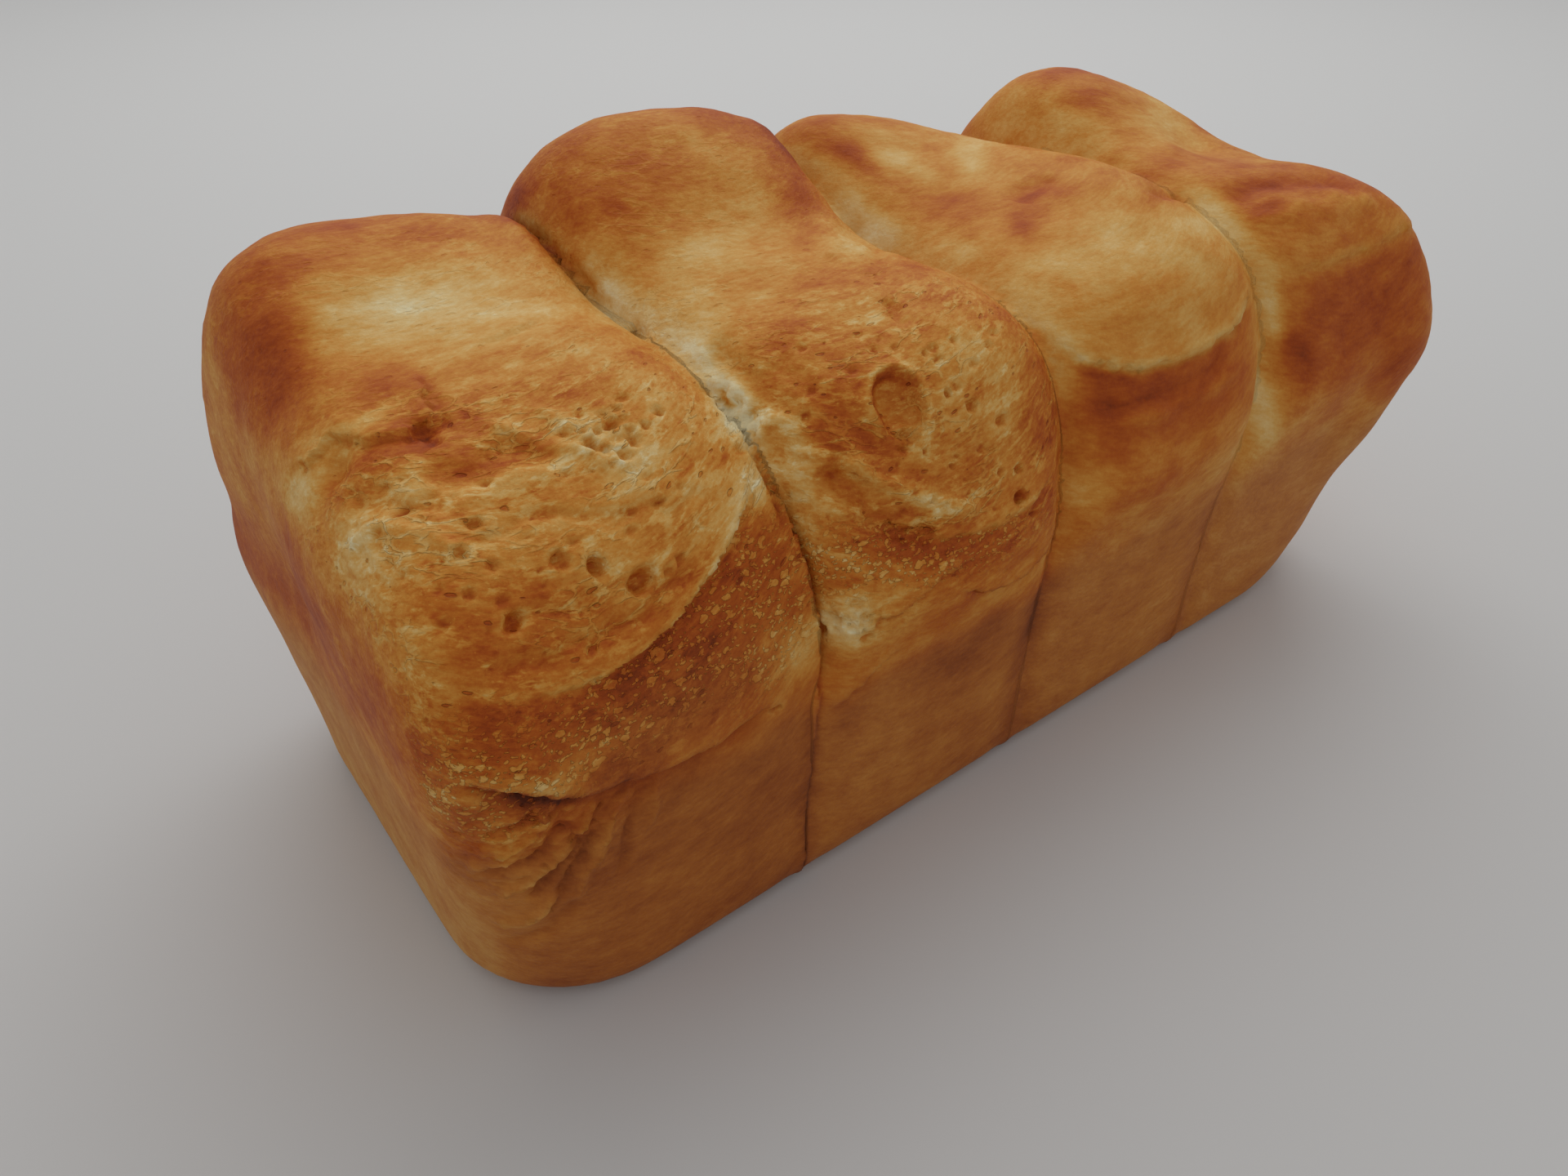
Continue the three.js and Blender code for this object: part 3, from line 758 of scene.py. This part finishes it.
# The tiny blisters lie in the band of crust that swelled out under the first two cuts.
BLISTERED = [
    ((-84, 71), (30, 7), 3), ((-38, 70), (22, 5), -10), ((-68, 70), (9, 11), 0),
    ((-116, 66), (9, 10), 0),
]
blistered = np.maximum.reduce([spot("front", *swollen) for swollen in BLISTERED])
blistered = np.clip(1.8 * blistered, 0, 1) * ramp(band, 0.02, 0.08)

# The fibres of the dough run along the loaf over each piece, hanging lower towards its sides.
# The pattern is stretched along them and starts afresh on each piece.
PIECE_MIDDLES = np.array([-92, -30, 28, 90])
PIECE_HALF = 31
STRETCHED, APART, HANG, SLANT = 2.4, 40, 10, 0.7
hanging = HANG * ((x - PIECE_MIDDLES[piece]) / PIECE_HALF) ** 2
along = x / STRETCHED + APART * piece
fibre = np.stack((along, hanging - SLANT * (y + z), SLANT * (y - z)), 1)

# The grain is liveliest on the open crumb and in the dark bands, on the first two pieces.
lively = np.clip(1.5 * open_crumb + 2 * band + 0.35 * risen, 0, 1) * (1 - wall) * (piece < 2)
tin_side = np.clip(wall + 0.7 * spot("front", (-90, 62), (26, 8)), 0, 1)

skin_values = {"browning_and_painted_light": browning_and_painted_light, "blistered": blistered, "lively": lively, "tin_side": tin_side}
for name, values in skin_values.items():
    layer = loaf.data.attributes.new(name, "FLOAT", "POINT")
    layer.data.foreach_set("value", np.ascontiguousarray(values, dtype=np.float32))
layer = loaf.data.attributes.new("fibre", "FLOAT_VECTOR", "POINT")
layer.data.foreach_set("vector", np.ascontiguousarray(fibre, dtype=np.float32).ravel())

# ---- Loaf: the crust's finish ---------------------------------------------------------
# Baked white dough: pale where it was sheltered, through gold to red-brown where it caught
# the heat, with a fine fibrous grain, open cells on the cuts and a faint gloss.

crust = bpy.data.materials.new("baked_crust")
crust.use_nodes = True
tree = crust.node_tree
nodes, links = tree.nodes, tree.links
shader = nodes["Principled BSDF"]
in_metres = nodes.new("ShaderNodeTexCoord").outputs["Object"]


def attribute(name, output="Fac"):
    """One of the skin's values, as worked out above."""
    node = nodes.new("ShaderNodeAttribute")
    node.attribute_name = name
    return node.outputs[output]


def calc(operation, first, second=None, third=None):
    """A sum on one to three values, each a number or another node's output."""
    node = nodes.new("ShaderNodeMath")
    node.operation = operation
    for socket, value in zip(node.inputs, (first, second, third)):
        if isinstance(value, (int, float)):
            socket.default_value = value
        elif value is not None:
            links.new(value, socket)
    return node.outputs[0]


def scaled(vector, scale):
    """Places in units of their own."""
    node = nodes.new("ShaderNodeMapping")
    node.inputs["Scale"].default_value = scale
    links.new(vector, node.inputs["Vector"])
    return node.outputs["Vector"]


def mottle(vector, scale, detail, rough):
    """Cloudy noise from -0.5 to 0.5."""
    node = nodes.new("ShaderNodeTexNoise")
    node.inputs["Scale"].default_value = scale
    node.inputs["Detail"].default_value = detail
    node.inputs["Roughness"].default_value = rough
    links.new(vector, node.inputs["Vector"])
    return calc("SUBTRACT", node.outputs["Fac"], 0.5)


def between(value, low, high, to_low=0.0, to_high=1.0):
    """A smooth change from to_low to to_high while the value goes from low to high."""
    node = nodes.new("ShaderNodeMapRange")
    node.interpolation_type = "SMOOTHSTEP"
    links.new(value, node.inputs["Value"])
    ends = (("From Min", low), ("From Max", high), ("To Min", to_low), ("To Max", to_high))
    for socket, number in ends:
        node.inputs[socket].default_value = number
    return node.outputs["Result"]


def bent(vector, scale, amount):
    """The same places pushed about by noise, so that nothing repeats in neat rounds."""
    waves = nodes.new("ShaderNodeTexNoise")
    waves.inputs["Scale"].default_value = scale
    waves.inputs["Detail"].default_value = 2
    links.new(vector, waves.inputs["Vector"])
    moved = nodes.new("ShaderNodeVectorMath")
    moved.operation = "MULTIPLY_ADD"
    links.new(waves.outputs["Color"], moved.inputs[0])
    moved.inputs[1].default_value = (amount, amount, amount)
    links.new(vector, moved.inputs[2])
    return moved.outputs["Vector"]


def cells(vector, scale, share, size):
    """Small rounds of many sizes: 1 inside, 0 outside, in a share of the cells."""
    node = nodes.new("ShaderNodeTexVoronoi")
    node.inputs["Scale"].default_value = scale
    links.new(vector, node.inputs["Vector"])
    chance = nodes.new("ShaderNodeSeparateColor")
    links.new(node.outputs["Color"], chance.inputs["Color"])
    radius = between(chance.outputs["Red"], 1 - share, 1, 0, size)
    return between(calc("SUBTRACT", radius, node.outputs["Distance"]), 0, 0.12)


def threads(vector, scale):
    """Thin walls between large cells: 1 in the middle of a wall, 0 in the cells."""
    node = nodes.new("ShaderNodeTexVoronoi")
    node.feature = "DISTANCE_TO_EDGE"
    node.inputs["Scale"].default_value = scale
    links.new(vector, node.inputs["Vector"])
    return between(node.outputs["Distance"], 0.02, 0.12, 1, 0)


def tinted(value, stops):
    """The colour for each tone, from bare crumb to the darkest crust."""
    colours = nodes.new("ShaderNodeValToRGB")
    links.new(value, colours.inputs["Fac"])
    elements = colours.color_ramp.elements
    while len(elements) < len(stops):
        elements.new(0.5)
    for stop, (position, colour) in zip(elements, stops):
        stop.position = position
        stop.color = (*colour, 1)
    return colours.outputs["Color"]


# The patterns' places: along the fibres, in plain millimetres, and a little stretched along the
# loaf for the blisters.
along_fibres = attribute("fibre", "Vector")
millimetres = scaled(in_metres, (MM_PER_METRE, MM_PER_METRE, MM_PER_METRE))
blister_places = bent(scaled(in_metres, (620, MM_PER_METRE, MM_PER_METRE)), scale=0.8, amount=1.6)
blister_places = bent(blister_places, scale=3.0, amount=0.4)
thread_places = bent(bent(along_fibres, scale=0.3, amount=3.0), scale=1.2, amount=1.1)

# All over the crust: fibres, speckles and clouds of darker and paler dough.
fine_fibre = mottle(along_fibres, scale=1.1, detail=4, rough=0.62)
soft_fibre = mottle(bent(along_fibres, scale=0.15, amount=3.0), scale=0.22, detail=3, rough=0.6)
speckle = mottle(millimetres, scale=1.5, detail=3, rough=0.65)
cloud = mottle(millimetres, scale=0.12, detail=4, rough=0.6)

# Only where the grain is lively: pale wisps, scorched streaks, pale specks and open pores. The
# # open pores are darkened with painted shade.
lively = attribute("lively")
wisp = mottle(bent(along_fibres, scale=0.3, amount=2.0), scale=0.42, detail=4, rough=0.65)
wisp = calc("MULTIPLY", between(wisp, 0.03, 0.12), lively)
scorch = mottle(bent(along_fibres, scale=0.25, amount=2.5), scale=0.36, detail=4, rough=0.65)
scorch = calc("MULTIPLY", between(scorch, 0.05, 0.16), lively)
specks = calc("MULTIPLY", cells(millimetres, scale=1.7, share=0.20, size=0.26), lively)
pores = cells(bent(along_fibres, scale=0.8, amount=0.8), scale=0.80, share=0.30, size=0.32)
pores = calc("MULTIPLY", pores, lively)

# Blisters, and between the torn cells thin threads of dough, here and there.
blistered = attribute("blistered")
large_blisters = cells(blister_places, scale=0.70, share=0.80, size=0.52)
small_blisters = cells(blister_places, scale=1.5, share=1.0, size=0.58)
blisters = calc("MULTIPLY", calc("MAXIMUM", large_blisters, small_blisters), blistered)
here_and_there = between(mottle(along_fibres, scale=0.16, detail=2, rough=0.55), -0.02, 0.12)
web = calc("MULTIPLY", threads(thread_places, scale=0.42), here_and_there)
web = calc("MAXIMUM", calc("MULTIPLY", web, calc("SUBTRACT", lively, blistered)), 0.0)

# How much each pattern darkens the crust, or pales it when below 0.
TONES = [
    (fine_fibre, between(lively, 0, 1, 0.24, 0.40)), (soft_fibre, 0.33), (cloud, 0.16),
    (speckle, between(lively, 0, 1, 0.12, 0.20)), (wisp, -0.13), (scorch, 0.10),
    (specks, -0.10), (web, -0.11), (pores, 0.14), (blisters, -0.21),
]
tone = attribute("browning_and_painted_light")
for pattern, darker in TONES:
    tone = calc("MULTIPLY_ADD", pattern, darker, tone)

RISEN_CRUST = [
    (0.00, (0.80, 0.69, 0.42)),
    (0.14, (0.74, 0.52, 0.22)),
    (0.28, (0.68, 0.38, 0.10)),
    (0.40, (0.62, 0.26, 0.040)),
    (0.52, (0.53, 0.160, 0.016)),
    (0.64, (0.44, 0.092, 0.008)),
    (0.76, (0.34, 0.055, 0.005)),
    (0.88, (0.22, 0.034, 0.004)),
    (1.00, (0.10, 0.016, 0.004)),
]
TIN_CRUST = [
    (0.20, (0.66, 0.40, 0.13)),
    (0.40, (0.58, 0.265, 0.060)),
    (0.52, (0.50, 0.178, 0.030)),
    (0.64, (0.41, 0.122, 0.020)),
    (0.76, (0.31, 0.078, 0.014)),
    (1.00, (0.10, 0.020, 0.006)),
]
blend = nodes.new("ShaderNodeMix")
blend.data_type = "RGBA"
links.new(attribute("tin_side"), blend.inputs["Factor"])
links.new(tinted(tone, RISEN_CRUST), blend.inputs[6])
links.new(tinted(tone, TIN_CRUST), blend.inputs[7])
links.new(blend.outputs[2], shader.inputs["Base Color"])
shader.inputs["Roughness"].default_value = 0.56
shader.inputs["Specular IOR Level"].default_value = 0.12

# How far each pattern stands up from the skin, in millimetres.
STANDS = [(fine_fibre, 0.14), (web, 0.16), (pores, -0.26), (blisters, 0.24)]
height = calc("MULTIPLY", speckle, 0.11)
for pattern, stands in STANDS:
    height = calc("MULTIPLY_ADD", pattern, stands, height)
bump = nodes.new("ShaderNodeBump")
bump.inputs["Strength"].default_value = 1.0
bump.inputs["Distance"].default_value = 1 / MM_PER_METRE
links.new(height, bump.inputs["Height"])
links.new(bump.outputs["Normal"], shader.inputs["Normal"])

loaf.data.materials.clear()
loaf.data.materials.append(crust)
bpy.ops.object.shade_smooth()

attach(loaf, "root")
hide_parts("loaf")
